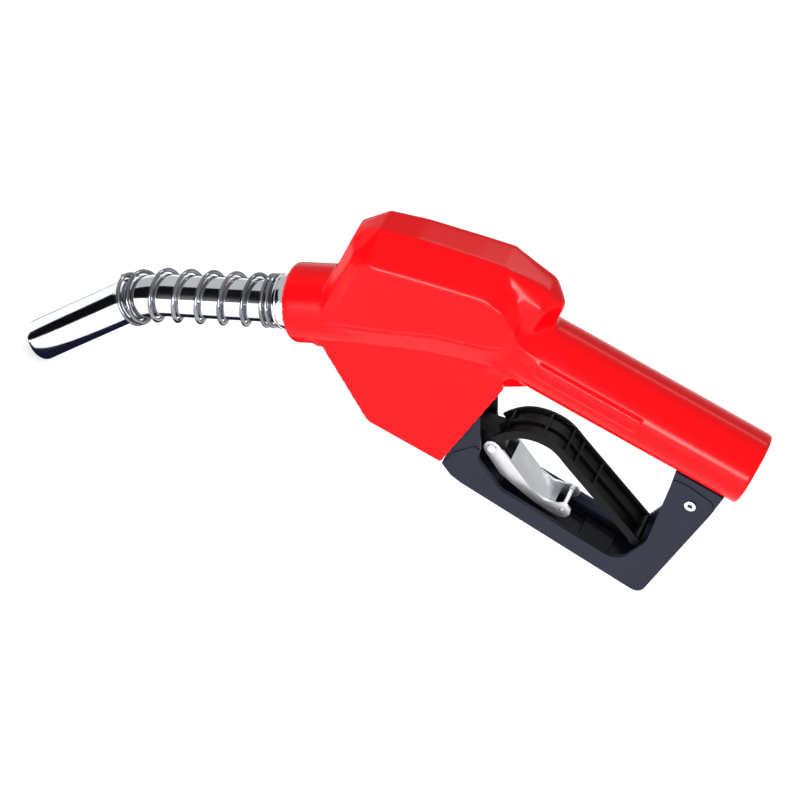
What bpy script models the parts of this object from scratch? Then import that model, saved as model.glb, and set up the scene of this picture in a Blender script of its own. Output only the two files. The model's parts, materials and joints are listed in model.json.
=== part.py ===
"""Automatic fuel nozzle, modelled as an assembly of separate pieces.

Frame: the origin is the centre of the hose inlet's face, +X runs along the handle the way the hose
leaves, +Z is up, away from the lever guard, and the nozzle is symmetric about Y = 0.
"""
import math

import bmesh
import bpy
from mathutils import Matrix, Vector

mm = 0.001

# ---- driving dimensions -------------------------------------------------------------------------
GAP = 0.3 * mm                    # between pieces that touch

HANDLE_RADIUS = 18.2 * mm         # over the cover
COVER_WALL = 2.3 * mm
COVER_OVERHANG = 0.8 * mm         # cover past the inlet face
INLET_RADIUS = 13.0 * mm          # hose thread
INLET_DEPTH = 18 * mm
HANDLE_BORE = 9.5 * mm

MAIN_X = -141 * mm                # main valve axis
MAIN_CHAMBER = 12.8 * mm
MAIN_WALL = 2.4 * mm
SEAT_BORE = 9 * mm
SEAT_Z = -9 * mm
LOWER_CHAMBER = 11.3 * mm
LOWER_FLOOR_Z = -30 * mm
CAP_THREAD = 12.3 * mm
CAP_FACE_Z = 19 * mm              # top of the casting at the main cap
STEM_RADIUS = 2.5 * mm
GLAND_RADIUS = 7.4 * mm
GLAND_END_Z = -45 * mm

LATCH_SPACING = 37 * mm           # latch stem axis ahead of the main valve axis
LATCH_RADIUS = 4.3 * mm
DIAPHRAGM_RADIUS = 14 * mm
DIAPHRAGM_Z = 6 * mm              # face that the diaphragm is clamped on
PIN_Z = -58 * mm                  # lever pin
LATCH_DROP = 5 * mm
BALL_Z = -24 * mm
BALL_RADIUS = 1.35 * mm

NECK_ANGLE = math.radians(34)     # neck below the handle axis
NECK_CROSSING_X = -151.5 * mm     # where the neck axis meets the handle axis
NECK_LENGTH = 90.4 * mm           # from there to the cover's collar rim
COLLAR_RADIUS = 19.3 * mm
NECK_BORE = 11.3 * mm
NECK_SOCKET = 13 * mm

SPOUT_RADIUS = 10.3 * mm
SPOUT_WALL = 1.4 * mm
SPOUT_STRAIGHT = 66 * mm          # from the collar rim to the bend
SPOUT_BEND_RADIUS = 60 * mm
SPOUT_BEND = math.radians(26.5)
SPOUT_TIP = 57.6 * mm
SPOUT_SOCKET_DEPTH = 20 * mm
NUT_RADIUS = 13.3 * mm
NUT_FACE = 7.7 * mm               # from the collar's rim to the face that the spring sits on
VENT_RADIUS = 2.2 * mm
SPRING_WIRE = 1.05 * mm           # anchor spring, wire radius
SPRING_RADIUS = 12.25 * mm        # anchor spring, to the wire's centre
SPRING_TURNS = 6
SPRING_LENGTH = 79.6 * mm

BODY_HALF = 21.5 * mm             # widest part of the cover
BELLY_HALF = 17 * mm
BAND_STEP = 0.3 * mm              # the upper body stands this proud of the belly

GUARD_HALF = 14.4 * mm
GUARD_WALL = 2.4 * mm
GUARD_FLOOR = 1.6 * mm
GUARD_RECESS = 0.7 * mm           # tongues are this much lower than the panels
GUARD_HEEL_X = -13.6 * mm
GUARD_HEEL_Z = -94.4 * mm
GUARD_TILT = math.radians(3.7)    # the guard's bottom against the handle
RIVET_X = -16.8 * mm
RIVET_Z = -26.8 * mm
RIVET_RADIUS = 2.1 * mm
SCREW_X = -158 * mm
SCREW_Z = -44 * mm
SCREW_RADIUS = 2 * mm

LEVER_HALF = 9.8 * mm
LEVER_THICK = 4.6 * mm
LEVER_RIM = 1.3 * mm
LEVER_BAR = 6.6 * mm              # half width of the part inside the belly
CLIP_X = -110.4 * mm              # rivet that the hold-open clip turns on
CLIP_Z = -63.6 * mm
CLIP_HALF = 8.2 * mm
CLIP_SHEET = 1.2 * mm
ROLLER_X = -66.2 * mm
ROLLER_Z = -76.8 * mm
ROLLER_RADIUS = 1.1 * mm
RIVET_SHANK = 1.6 * mm

# ---- worked out from them -----------------------------------------------------------------------
LATCH_X = MAIN_X - LATCH_SPACING
COVER_BORE = HANDLE_RADIUS - COVER_WALL
TUBE_RADIUS = COVER_BORE - GAP
GUARD_INNER = GUARD_HALF - GUARD_WALL
NECK_DIR = Vector((-math.cos(NECK_ANGLE), 0, -math.sin(NECK_ANGLE)))
NECK_UP = Vector((-math.sin(NECK_ANGLE), 0, math.cos(NECK_ANGLE)))
X_AXIS = Vector((1, 0, 0))
Y_AXIS = Vector((0, 1, 0))
Z_AXIS = Vector((0, 0, 1))
STEPS = 24


def start():
    """Clear the scene and make the two collections."""
    for old in list(bpy.data.objects):
        bpy.data.objects.remove(old)
    made = []
    for name in ("fuel_nozzle", "cutters"):
        collection = bpy.data.collections.new(name)
        bpy.context.scene.collection.children.link(collection)
        made.append(collection)
    return made


NOZZLE, CUTTERS = start()


def material(name, colour, roughness, metallic):
    made = bpy.data.materials.new(name)
    made.use_nodes = True
    shader = made.node_tree.nodes["Principled BSDF"]
    shader.inputs["Base Color"].default_value = (*colour, 1)
    shader.inputs["Roughness"].default_value = roughness
    shader.inputs["Metallic"].default_value = metallic
    return made


RED = material("red_vinyl", (0.80, 0.008, 0.012), 0.28, 0)
BLACK = material("black_plastic", (0.012, 0.012, 0.014), 0.45, 0)
SLATE = material("slate_plastic", (0.045, 0.05, 0.065), 0.45, 0)
RACK_GREY = material("grey_plastic", (0.10, 0.11, 0.12), 0.5, 0)
CAST = material("cast_aluminium", (0.55, 0.56, 0.57), 0.5, 1)
CHROME = material("bright_steel", (0.75, 0.76, 0.77), 0.12, 1)
ZINC = material("zinc_plate", (0.62, 0.64, 0.66), 0.3, 1)
SPRING_STEEL = material("spring_steel", (0.5, 0.5, 0.5), 0.25, 1)
BRASS = material("brass", (0.70, 0.48, 0.20), 0.3, 1)
RUBBER = material("black_rubber", (0.02, 0.02, 0.02), 0.8, 0)
ACETAL = material("white_acetal", (0.75, 0.75, 0.72), 0.4, 0)
MESH_STEEL = material("screen_steel", (0.45, 0.45, 0.46), 0.4, 1)


# ---- makers -------------------------------------------------------------------------------------
def add(name, data, paint=None):
    """Put an object in the nozzle, or among the cutters when it has no material."""
    made = bpy.data.objects.new(name, data)
    (NOZZLE if paint else CUTTERS).objects.link(made)
    if paint:
        data.materials.append(paint)
        if isinstance(data, bpy.types.Mesh):
            data.shade_smooth()
            data.set_sharp_from_angle(angle=math.radians(35))
    else:
        made.hide_render = True
        made.display_type = "WIRE"
    return made


def from_bmesh(name, work, paint=None):
    mesh = bpy.data.meshes.new(name)
    bmesh.ops.recalc_face_normals(work, faces=work.faces)
    work.to_mesh(mesh)
    work.free()
    return add(name, mesh, paint)


def box(name, low, high, paint=None):
    work = bmesh.new()
    bmesh.ops.create_cube(work, size=1)
    for vert in work.verts:
        vert.co = Vector([low[i] if vert.co[i] < 0 else high[i] for i in range(3)])
    return from_bmesh(name, work, paint)


def hull(name, points, paint=None):
    """Flat-faced form round a set of corners."""
    work = bmesh.new()
    for point in points:
        work.verts.new(point)
    made = bmesh.ops.convex_hull(work, input=work.verts)
    bmesh.ops.delete(work, geom=[g for g in made["geom_interior"]], context="VERTS")
    return from_bmesh(name, work, paint)


def loft(name, sections, paint=None):
    """Skin over sections: each has an X and the right-hand corners (y, z) from top to bottom."""
    rings = []
    for x, half in sections:
        rings.append([(x, y, z) for y, z in half] + [(x, -y, z) for y, z in reversed(half)])
    return skin(name, rings, paint)


def skin(name, rings, paint=None):
    """Closed skin over rings that have the same number of points."""
    work = bmesh.new()
    rings = [[work.verts.new(point) for point in ring] for ring in rings]
    count = len(rings[0])
    for ring, following in zip(rings, rings[1:]):
        for i in range(count):
            j = (i + 1) % count
            work.faces.new((ring[i], ring[j], following[j], following[i]))
    work.faces.new(rings[0])
    work.faces.new(rings[-1])
    bmesh.ops.triangulate(work, faces=work.faces)
    return from_bmesh(name, work, paint)


def turn_to(axis):
    return axis.to_track_quat("Z", "Y").to_matrix().to_4x4()


def turned(name, profile, base, axis=Z_AXIS, paint=None, steps=STEPS):
    """Turned piece: profile of (radius, height), down the outside and, on a ring, up the inside."""
    mesh = bpy.data.meshes.new(name)
    solid = profile[0][0] == 0
    count = len(profile)
    edges = [(i, i + 1) for i in range(count - 1)]
    if not solid:
        edges.append((count - 1, 0))
    mesh.from_pydata([(r, 0, h) for r, h in profile], edges, [])
    made = add(name, mesh, paint)
    made.matrix_world = Matrix.Translation(base) @ turn_to(axis)
    screw = made.modifiers.new("turn", "SCREW")
    screw.steps = steps
    screw.render_steps = steps
    screw.use_merge_vertices = True
    screw.merge_threshold = 0.00001
    return made


def rod(name, radius, start, end, base, axis=Z_AXIS, paint=None, steps=STEPS):
    """Plain cylinder from start to end along an axis."""
    profile = [(0, end), (radius, end), (radius, start), (0, start)]
    return turned(name, profile, base, axis, paint, steps)


def ring(name, inner, outer, start, end, base, axis=Z_AXIS, paint=None, steps=STEPS):
    profile = [(outer, end), (outer, start), (inner, start), (inner, end)]
    return turned(name, profile, base, axis, paint, steps)


def rounded(corners, arc_steps=4):
    """Outline from corners (x, z) or (x, z, radius), with the radii as arcs."""
    outline = []
    count = len(corners)
    for i, corner in enumerate(corners):
        here = Vector(corner[:2])
        if len(corner) == 2:
            outline.append(here)
            continue
        before = (Vector(corners[i - 1][:2]) - here).normalized()
        after = (Vector(corners[(i + 1) % count][:2]) - here).normalized()
        half_angle = before.angle(after) / 2
        reach = corner[2] / math.tan(half_angle)
        centre = here + (before + after).normalized() * corner[2] / math.sin(half_angle)
        first = here + before * reach - centre
        sweep = first.angle_signed(here + after * reach - centre)
        for step in range(arc_steps + 1):
            turn = Matrix.Rotation(-sweep * step / arc_steps, 2)
            outline.append(centre + turn @ first)
    return outline


def plate(name, outline, low_y, high_y, paint=None):
    """Flat outline in X and Z, as thick as from low_y to high_y."""
    curve = bpy.data.curves.new(name + "_outline", "CURVE")
    curve.dimensions = "2D"
    curve.fill_mode = "BOTH"
    curve.extrude = (high_y - low_y) / 2
    spline = curve.splines.new("POLY")
    spline.points.add(len(outline) - 1)
    for point, (x, z) in zip(spline.points, outline):
        point.co = (x, z, 0, 1)
    spline.use_cyclic_u = True
    guide = bpy.data.objects.new(name + "_outline", curve)
    bpy.context.scene.collection.objects.link(guide)
    guide.matrix_world = Matrix.Translation((0, (low_y + high_y) / 2, 0)) @ Matrix.Rotation(
        math.pi / 2, 4, "X")
    return from_curve(guide, name, paint)


def from_curve(guide, name, paint=None):
    """Welded mesh object in the place of a curve object."""
    bpy.context.view_layer.update()
    graph = bpy.context.evaluated_depsgraph_get()
    mesh = bpy.data.meshes.new_from_object(guide.evaluated_get(graph))
    work = bmesh.new()
    work.from_mesh(mesh)
    bmesh.ops.remove_doubles(work, verts=work.verts, dist=0.00001)
    bmesh.ops.recalc_face_normals(work, faces=work.faces)
    work.to_mesh(mesh)
    work.free()
    mesh.materials.clear()
    mesh.name = name
    made = add(name, mesh, paint)
    made.matrix_world = guide.matrix_world
    bpy.data.objects.remove(guide)
    return made


def wire(name, points, radius, paint=None, resolution=2):
    """Round wire or tube through points, with filled ends."""
    curve = bpy.data.curves.new(name, "CURVE")
    curve.dimensions = "3D"
    curve.bevel_depth = radius
    curve.bevel_resolution = resolution
    curve.use_fill_caps = True
    spline = curve.splines.new("POLY")
    spline.points.add(len(points) - 1)
    for point, place in zip(spline.points, points):
        point.co = (*place, 1)
    return add(name, curve, paint)


def combine(piece, operation, others):
    for other in others:
        step = piece.modifiers.new(operation.lower(), "BOOLEAN")
        step.operation = operation
        step.solver = "EXACT"
        step.object = other
    return piece


def cut(piece, *others):
    return combine(piece, "DIFFERENCE", others)


def join(piece, *others):
    return combine(piece, "UNION", others)


def origin_to(piece, place):
    """Move the piece's origin onto its joint's axis, with the shape where it was."""
    offset = Matrix.Translation(-Vector(place)) @ piece.matrix_world
    piece.data.transform(offset)
    piece.matrix_world = Matrix.Translation(place)
    return piece


def in_neck(depth):
    """Point on the neck axis, as deep as given behind the collar's rim."""
    return Vector((NECK_CROSSING_X, 0, 0)) + NECK_DIR * (NECK_LENGTH - depth)


def guard_bottom(x, height=0.0):
    """Height of the guard's outer bottom at x, or of a line parallel to it."""
    return GUARD_HEEL_Z + (x - GUARD_HEEL_X) * -math.tan(GUARD_TILT) + height


def spout_point(travel):
    """Point and direction on the spout's centreline, travel from the collar's rim."""
    arc = SPOUT_BEND_RADIUS * SPOUT_BEND
    bent = min(max(travel - SPOUT_STRAIGHT, 0), arc) / SPOUT_BEND_RADIUS
    straight = min(travel, SPOUT_STRAIGHT)
    past = max(travel - SPOUT_STRAIGHT - arc, 0)
    place = in_neck(0) + NECK_DIR * straight
    place += NECK_DIR * SPOUT_BEND_RADIUS * math.sin(bent)
    place -= NECK_UP * SPOUT_BEND_RADIUS * (1 - math.cos(bent))
    heading = NECK_DIR * math.cos(bent) - NECK_UP * math.sin(bent)
    return place + heading * past, heading


def coil(radius, turns, per_turn, height_at, base, axis=Z_AXIS):
    """Points of a helix about an axis; height_at gives the height for a share of its length."""
    frame = Matrix.Translation(base) @ turn_to(axis)
    count = int(turns * per_turn)
    points = []
    for i in range(count + 1):
        angle = 2 * math.pi * i / per_turn
        height = height_at(i / count)
        points.append(frame @ Vector((radius * math.cos(angle), radius * math.sin(angle), height)))
    return points


# ---- cover --------------------------------------------------------------------------------------
def cover_sections(inset):
    """Sections of the cover's upper body: X, top edge, eave, upper and lower side lines."""
    wide = BODY_HALF - inset
    belly = BELLY_HALF + BAND_STEP - inset
    outer = (
        (-217, (1.6, 12.8), (8, 9.5), (12, -33), (11, -43)),
        (-212.5, (4.7, 18.2), (16, 9.0), (17.5, -36), (15, -49)),
        (-207.5, (7.8, 23.5), (20, 9.4), (19.2, -35), (16.6, -49)),
        (-202, (8.0, 25.6), (21.5, 11.4), (20.3, -31), (17, -45)),
        (-190, (8.4, 30.0), (21.5, 15.4), (21, -24), (17, -37)),
        (-161, (8.8, 38.2), (21.5, 24.5), (21.5, -6.4), (17, -21)),
        (-148, (9.2, 41.3), (21.5, 28.4), (21.5, -1.2), (17, -15.3)),
        (-138.5, (7.5, 36.5), (21.0, 26.3), (21.3, 2.8), (17, -11.6)),
        (-131, (7, 28), (20, 18.5), (20, 5.8), (16.8, -8.8)),
        (-126, (7, 20), (17, 11), (17, 7), (16.5, -7.5)),
    )
    sections = []
    for i, (x, *corners) in enumerate(outer):
        station = x * mm + (inset if i == 0 else 0) - (inset if i == len(outer) - 1 else 0)
        half = []
        for k, (y, z) in enumerate(corners):
            width = y * mm * (belly / BELLY_HALF if k == 3 else wide / BODY_HALF)
            half.append((width, z * mm - (inset * 1.1 if k < 2 else 0)))
        floor = half[-1][1] - 5.4 * mm
        half.append((half[-1][0] - 2 * BAND_STEP, floor))
        sections.append((station, half))
    return sections


def dome_corners(inset):
    """Corners of the pointed rear of the dome: (x, half width, z)."""
    top = ((-149, 9.1, 41.2), (-125, 7, 39.3), (-115.5, 0.8, 33.5))
    rim = ((-146, 14, 28.7), (-123, 12, 31.5), (-114.8, 1.6, 31))
    corners = []
    for x, y, z in top + rim:
        rear = inset if x > -140 else 0
        for side in (-1, 1):
            half = max(y * mm - inset * 0.8, 0.3 * mm)
            corners.append((x * mm - rear, side * half, z * mm - inset))
            if z < 32 or x > -120:
                corners.append((x * mm - rear, side * half, 5 * mm))
    return corners


def belly_outline(inset):
    """Side outline of the belly; the inner one runs on through the open rear."""
    floor = -80.2 * mm + inset
    rear = [(-126 * mm, -6 * mm), (-120.6 * mm, -20 * mm), (-128.5 * mm, floor)]
    if inset:
        rear = [(-124.5 * mm, -11 * mm), (-124.5 * mm, -22.5 * mm), (-100 * mm, -22.5 * mm),
                (-100 * mm, floor)]
    return rounded(rear + [
        (-169 * mm + inset * 0.5, floor, 5 * mm),
        (-205 * mm + inset * 1.3, -52 * mm + inset * 0.3, 5 * mm),
        (-205 * mm + inset * 1.3, -42 * mm),
        (-160 * mm, -12 * mm)])


def make_cover():
    edge = 2 * mm
    rear = COVER_OVERHANG
    front = -128 * mm
    profile = [(0, rear), (HANDLE_RADIUS - edge, rear)]
    for step in range(1, 5):
        angle = math.pi / 2 * (1 - step / 4)
        profile.append((HANDLE_RADIUS - edge + edge * math.cos(angle),
                        rear - edge + edge * math.sin(angle)))
    profile += [(HANDLE_RADIUS, front), (0, front)]
    handle = turned("cover_handle", profile, (0, 0, 0), X_AXIS, steps=36)
    cover = loft("nozzle_cover", cover_sections(0), RED)
    lip = 2 * mm
    collar_profile = [(0, 0), (COLLAR_RADIUS - lip, 0), (COLLAR_RADIUS, -lip),
                      (COLLAR_RADIUS, -34 * mm), (0, -40 * mm)]
    collar = turned("cover_collar", collar_profile, in_neck(0), NECK_DIR, steps=36)
    dome = hull("cover_dome", dome_corners(0))
    belly = plate("cover_belly", belly_outline(0), -BELLY_HALF, BELLY_HALF)
    saddle = loft("cover_saddle", (
        (-132 * mm, ((9 * mm, 24 * mm), (18.5 * mm, 14 * mm), (18.5 * mm, -8 * mm), (14 * mm, -26 * mm))),
        (-120 * mm, ((6 * mm, 18.5 * mm), (17 * mm, 9 * mm), (17 * mm, -9 * mm), (10 * mm, -23 * mm))),
        (-108 * mm, ((5 * mm, 17 * mm), (15.5 * mm, 8 * mm), (15.5 * mm, -8 * mm), (6 * mm, -17 * mm))),
    ))
    join(cover, collar, dome, belly, saddle, handle)

    bore = rod("cover_bore", COVER_BORE, -134 * mm, 6 * mm, (0, 0, 0), X_AXIS, steps=36)
    room = loft("cover_room", cover_sections(COVER_WALL))
    neck_room = rod("cover_neck_room", COLLAR_RADIUS - COVER_WALL, -50 * mm, 6 * mm, in_neck(0),
                    NECK_DIR, steps=36)
    dome_room = hull("cover_dome_room", dome_corners(COVER_WALL))
    belly_room = plate("cover_belly_room", belly_outline(COVER_WALL), -GUARD_HALF - GAP,
                       GUARD_HALF + GAP)
    tongue_slot = box("cover_tongue_slot", (-34 * mm, -GUARD_HALF - GAP, -30 * mm),
                      (-3 * mm, GUARD_HALF + GAP, -12.4 * mm))
    return cut(cover, bore, room, neck_room, dome_room, belly_room, tongue_slot)


# ---- casting and what is in it ------------------------------------------------------------------
def make_body():
    outer = MAIN_CHAMBER + MAIN_WALL
    low = LOWER_CHAMBER + MAIN_WALL
    top = CAP_THREAD + MAIN_WALL
    main = (MAIN_X, 0, 0)
    latch = (LATCH_X, 0, 0)
    seat_under = SEAT_Z - MAIN_WALL
    profile = [(0, CAP_FACE_Z), (top, CAP_FACE_Z), (top, 14 * mm), (outer, 10.5 * mm),
               (outer, seat_under + 1 * mm), (low, seat_under - 2 * mm),
               (low, LOWER_FLOOR_Z - MAIN_WALL), (GLAND_RADIUS, LOWER_FLOOR_Z - MAIN_WALL),
               (GLAND_RADIUS, GLAND_END_Z), (0, GLAND_END_Z)]
    body = turned("valve_body", profile, main, paint=CAST)
    tube = rod("body_tube", TUBE_RADIUS, MAIN_X + 1 * mm, 0, (0, 0, 0), X_AXIS, steps=36)
    half = low - 0.15 * mm
    passage_shell = box("body_passage_shell", (LATCH_X - 19.3 * mm, -half, LOWER_FLOOR_Z - 3.4 * mm),
                        (MAIN_X, half, -9.5 * mm))
    neck = turned("body_neck", [
        (0, -1 * mm), (NECK_SOCKET + 3.4 * mm, -1 * mm), (NECK_SOCKET + 3.4 * mm, -21 * mm),
        (NECK_BORE + 2.8 * mm, -23 * mm), (NECK_BORE + 2.8 * mm, -52 * mm), (0, -52 * mm)],
        in_neck(0), NECK_DIR)
    vacuum = rod("body_vacuum_flange", DIAPHRAGM_RADIUS + 4 * mm, -11 * mm, DIAPHRAGM_Z, latch)
    bridge = box("body_bridge", (LATCH_X, -11 * mm, -10 * mm), (MAIN_X, 11 * mm, 3 * mm))
    rear_lug = box("body_rear_lug", (RIVET_X - 7 * mm, -8 * mm, RIVET_Z - 4.5 * mm),
                   (RIVET_X + 7 * mm, 8 * mm, -TUBE_RADIUS + 2 * mm))
    join(body, tube, passage_shell, neck, vacuum, bridge, rear_lug)
    for side, label in ((-1, "left"), (1, "right")):
        near, far = sorted((side * (GUARD_INNER - GAP), side * (GUARD_INNER - 4.6 * mm)))
        join(body, box(f"body_lug_{label}", (SCREW_X - 7 * mm, near, SCREW_Z - 6 * mm),
                       (SCREW_X + 7 * mm, far, LOWER_FLOOR_Z - 1 * mm)))

    main_bore = turned("body_main_bore", [
        (0, CAP_FACE_Z + 2 * mm), (CAP_THREAD, CAP_FACE_Z + 2 * mm), (CAP_THREAD, 10 * mm),
        (MAIN_CHAMBER, 10 * mm), (MAIN_CHAMBER, SEAT_Z), (SEAT_BORE, SEAT_Z), (SEAT_BORE, seat_under),
        (LOWER_CHAMBER, seat_under), (LOWER_CHAMBER, LOWER_FLOOR_Z), (STEM_RADIUS + GAP, LOWER_FLOOR_Z),
        (STEM_RADIUS + GAP, -35 * mm), (5 * mm, -35 * mm), (5 * mm, -47 * mm), (0, -47 * mm)], main)
    handle_bore = turned("body_handle_bore", [
        (0, 2 * mm), (INLET_RADIUS, 2 * mm), (INLET_RADIUS, -INLET_DEPTH), (HANDLE_BORE, -INLET_DEPTH),
        (HANDLE_BORE, MAIN_X + 4 * mm), (0, MAIN_X + 4 * mm)], (0, 0, 0), X_AXIS)
    room = LOWER_CHAMBER - 0.4 * mm
    passage = box("body_passage", (LATCH_X - 14 * mm, -room, LOWER_FLOOR_Z + 0.5 * mm),
                  (MAIN_X - 2 * mm, room, seat_under - 0.6 * mm))
    neck_bore = turned("body_neck_bore", [
        (0, 2 * mm), (NECK_SOCKET, 2 * mm), (NECK_SOCKET, -SPOUT_SOCKET_DEPTH),
        (NECK_BORE, -SPOUT_SOCKET_DEPTH), (NECK_BORE, -48 * mm), (0, -48 * mm)], in_neck(0), NECK_DIR)
    cut(body, main_bore, handle_bore, passage, neck_bore)
    join(body, rod("body_latch_column", LATCH_RADIUS + 3 * mm, -49 * mm, -8 * mm, latch))
    race = LATCH_RADIUS + 1.5 * mm
    slide = LATCH_RADIUS + GAP
    latch_bore = turned("body_latch_bore", [
        (0, 8 * mm), (DIAPHRAGM_RADIUS - 3 * mm, 8 * mm), (DIAPHRAGM_RADIUS - 3 * mm, -1 * mm),
        (slide, -1 * mm), (slide, BALL_Z + 3 * mm), (race, BALL_Z + 2 * mm),
        (race, BALL_Z - LATCH_DROP - 3 * mm), (slide, BALL_Z - LATCH_DROP - 4 * mm), (slide, -51 * mm),
        (0, -51 * mm)], latch)
    screw_bore = rod("body_screw_bore", SCREW_RADIUS + GAP, -20 * mm, 20 * mm, (SCREW_X, 0, SCREW_Z),
                     Y_AXIS, steps=16)
    rivet_bore = rod("body_rivet_bore", RIVET_RADIUS + GAP, -20 * mm, 20 * mm, (RIVET_X, 0, RIVET_Z),
                     Y_AXIS, steps=16)
    return cut(body, latch_bore, screw_bore, rivet_bore)


def make_main_valve():
    at = (MAIN_X, 0, 0)
    top = CAP_FACE_Z
    thread = CAP_THREAD - GAP
    cap_profile = [
        (0, top + 11 * mm), (8.5 * mm, top + 11 * mm), (8.5 * mm, top + 3 * mm),
        (CAP_THREAD + 1.2 * mm, top + 3 * mm), (CAP_THREAD + 1.2 * mm, top + 1.1 * mm + GAP),
        (thread, top + 1.1 * mm + GAP), (thread, 11 * mm), (8.5 * mm, 11 * mm), (8.5 * mm, top),
        (0, top)]
    turned("main_cap", cap_profile, at, paint=CAST)
    ring("cap_seal", thread + GAP, CAP_THREAD + 1.8 * mm, top + 0.2 * mm, top + 1.1 * mm, at,
         paint=RUBBER, steps=20)
    disc_top = SEAT_Z + 2.4 * mm
    poppet_profile = [
        (0, disc_top + 4 * mm), (4 * mm, disc_top + 4 * mm), (5 * mm, disc_top + 2.4 * mm),
        (SEAT_BORE + 2 * mm, disc_top + 2.4 * mm), (SEAT_BORE + 2 * mm, disc_top + GAP),
        (STEM_RADIUS + GAP, disc_top + GAP), (STEM_RADIUS + GAP, disc_top + 2 * mm), (0, disc_top + 2 * mm)]
    turned("main_poppet", poppet_profile, at, paint=BRASS)
    ring("poppet_disc", STEM_RADIUS + GAP, SEAT_BORE + 1.8 * mm, SEAT_Z + GAP, disc_top, at,
         paint=RUBBER, steps=20)
    tip = PIN_Z + 0.4 * mm
    stem_profile = [(0, disc_top + 1.7 * mm), (STEM_RADIUS, disc_top + 1.7 * mm),
                    (STEM_RADIUS, tip + 1.2 * mm), (1 * mm, tip), (0, tip)]
    turned("main_stem", stem_profile, at, paint=CHROME, steps=16)
    ring("stem_packing", STEM_RADIUS + GAP, 4.7 * mm, -38.5 * mm, -35.3 * mm, at, paint=ACETAL, steps=16)
    packing_profile = [(4.7 * mm, -38.8 * mm), (4.7 * mm, -45.3 * mm), (6.6 * mm, -45.3 * mm),
                       (6.6 * mm, -47.6 * mm), (STEM_RADIUS + GAP, -47.6 * mm),
                       (STEM_RADIUS + GAP, -38.8 * mm)]
    turned("packing_nut", packing_profile, at, paint=BRASS, steps=16)
    base = disc_top + 2.4 * mm + GAP
    head = top - GAP

    def height(share):
        return base + 0.7 * mm + (head - base - 1.4 * mm) * share
    wire("main_spring", coil(6.4 * mm, 5, 12, height, at), 0.7 * mm, SPRING_STEEL, 1)


def make_latch():
    at = (LATCH_X, 0, 0)
    low = PIN_Z - 3.8 * mm
    ball_out = 3.3 * mm
    stem_profile = [
        (LATCH_RADIUS, -17 * mm), (LATCH_RADIUS, low + 1.5 * mm), (LATCH_RADIUS - 1.5 * mm, low),
        (0, low), (0, -46 * mm), (1.95 * mm, -46 * mm), (1.95 * mm, -17 * mm)]
    stem = turned("latch_stem", stem_profile, at, paint=ZINC, steps=20)
    pin_hole = rod("latch_pin_hole", 2.2 * mm + GAP, -8 * mm, 8 * mm, (LATCH_X, 0, PIN_Z), Y_AXIS, steps=16)
    holes = []
    for i in range(3):
        angle = 2 * math.pi * i / 3
        outward = Vector((math.cos(angle), math.sin(angle), 0))
        centre = Vector((LATCH_X, 0, BALL_Z)) + outward * ball_out
        holes.append(rod(f"latch_ball_hole_{i + 1}", BALL_RADIUS + 0.25 * mm, -2.4 * mm, 3 * mm, centre,
                         outward, steps=12))
        work = bmesh.new()
        bmesh.ops.create_uvsphere(work, u_segments=10, v_segments=6, radius=BALL_RADIUS)
        ball = from_bmesh(f"latch_ball_{i + 1}", work, CHROME)
        ball.location = centre
    cut(stem, pin_hole, *holes)
    tip = BALL_Z - BALL_RADIUS
    pin_profile = [
        (0, DIAPHRAGM_Z), (1.6 * mm, DIAPHRAGM_Z), (1.6 * mm, tip), (0.7 * mm, tip - 0.8 * mm),
        (0.7 * mm, tip - 3.4 * mm), (0, tip - 3.4 * mm)]
    turned("latch_pin", pin_profile, at, paint=CHROME, steps=14)
    rod("lever_pin", 2.2 * mm, -8.2 * mm, 8.2 * mm, (LATCH_X, 0, PIN_Z), Y_AXIS, ZINC, 16)

    def height(share):
        return -15.9 * mm + 13.9 * mm * share
    wire("latch_spring", coil(3.1 * mm, 5, 10, height, at), 0.5 * mm, SPRING_STEEL, 1)


def make_diaphragm():
    at = (LATCH_X, 0, 0)
    face = DIAPHRAGM_Z
    out = DIAPHRAGM_RADIUS + 4 * mm
    web_profile = [
        (0, face + 1.2 * mm), (7 * mm, face + 1.2 * mm), (9.5 * mm, face + 2.2 * mm),
        (12 * mm, face + 1.4 * mm), (12.4 * mm, face + 1.1 * mm), (12.4 * mm, face + GAP),
        (11 * mm, face + GAP), (9.5 * mm, face + 1.2 * mm), (7 * mm, face + GAP), (0, face + GAP)]
    turned("diaphragm", web_profile, at, paint=RUBBER, steps=24)
    rod("diaphragm_plate", 6.5 * mm, face + 1.5 * mm, face + 2.7 * mm, at, paint=ZINC, steps=20)
    cap_profile = [
        (0, face + 11 * mm), (out - 5 * mm, face + 11 * mm), (out - 3.4 * mm, face + 9.5 * mm),
        (out - 3.4 * mm, face + 4 * mm), (out, face + 4 * mm), (out, face + GAP),
        (DIAPHRAGM_RADIUS - 1.3 * mm, face + GAP), (DIAPHRAGM_RADIUS - 1.3 * mm, face + 9 * mm),
        (0, face + 9 * mm)]
    cap = turned("vacuum_cap", cap_profile, at, paint=CAST)
    holes = []
    for i in range(4):
        angle = math.pi / 4 + math.pi / 2 * i
        reach = out - 1.7 * mm
        place = Vector((LATCH_X + reach * math.cos(angle), reach * math.sin(angle), face))
        profile = [(0, 7 * mm), (1.5 * mm, 7 * mm), (1.5 * mm, 4 * mm + GAP), (0.85 * mm, 4 * mm + GAP),
                   (0.85 * mm, 0.6 * mm), (0, 0.6 * mm)]
        turned(f"cap_screw_{i + 1}", profile, place, paint=ZINC, steps=10)
        holes.append(rod(f"cap_screw_hole_{i + 1}", 0.85 * mm + GAP, -1 * mm, 6 * mm, place, steps=12))
    cut(cap, *holes)

    def height(share):
        return face + 3.5 * mm + (9 - 4.3) * mm * share
    wire("vacuum_spring", coil(4.5 * mm, 2.5, 12, height, at), 0.45 * mm, SPRING_STEEL, 1)


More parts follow.
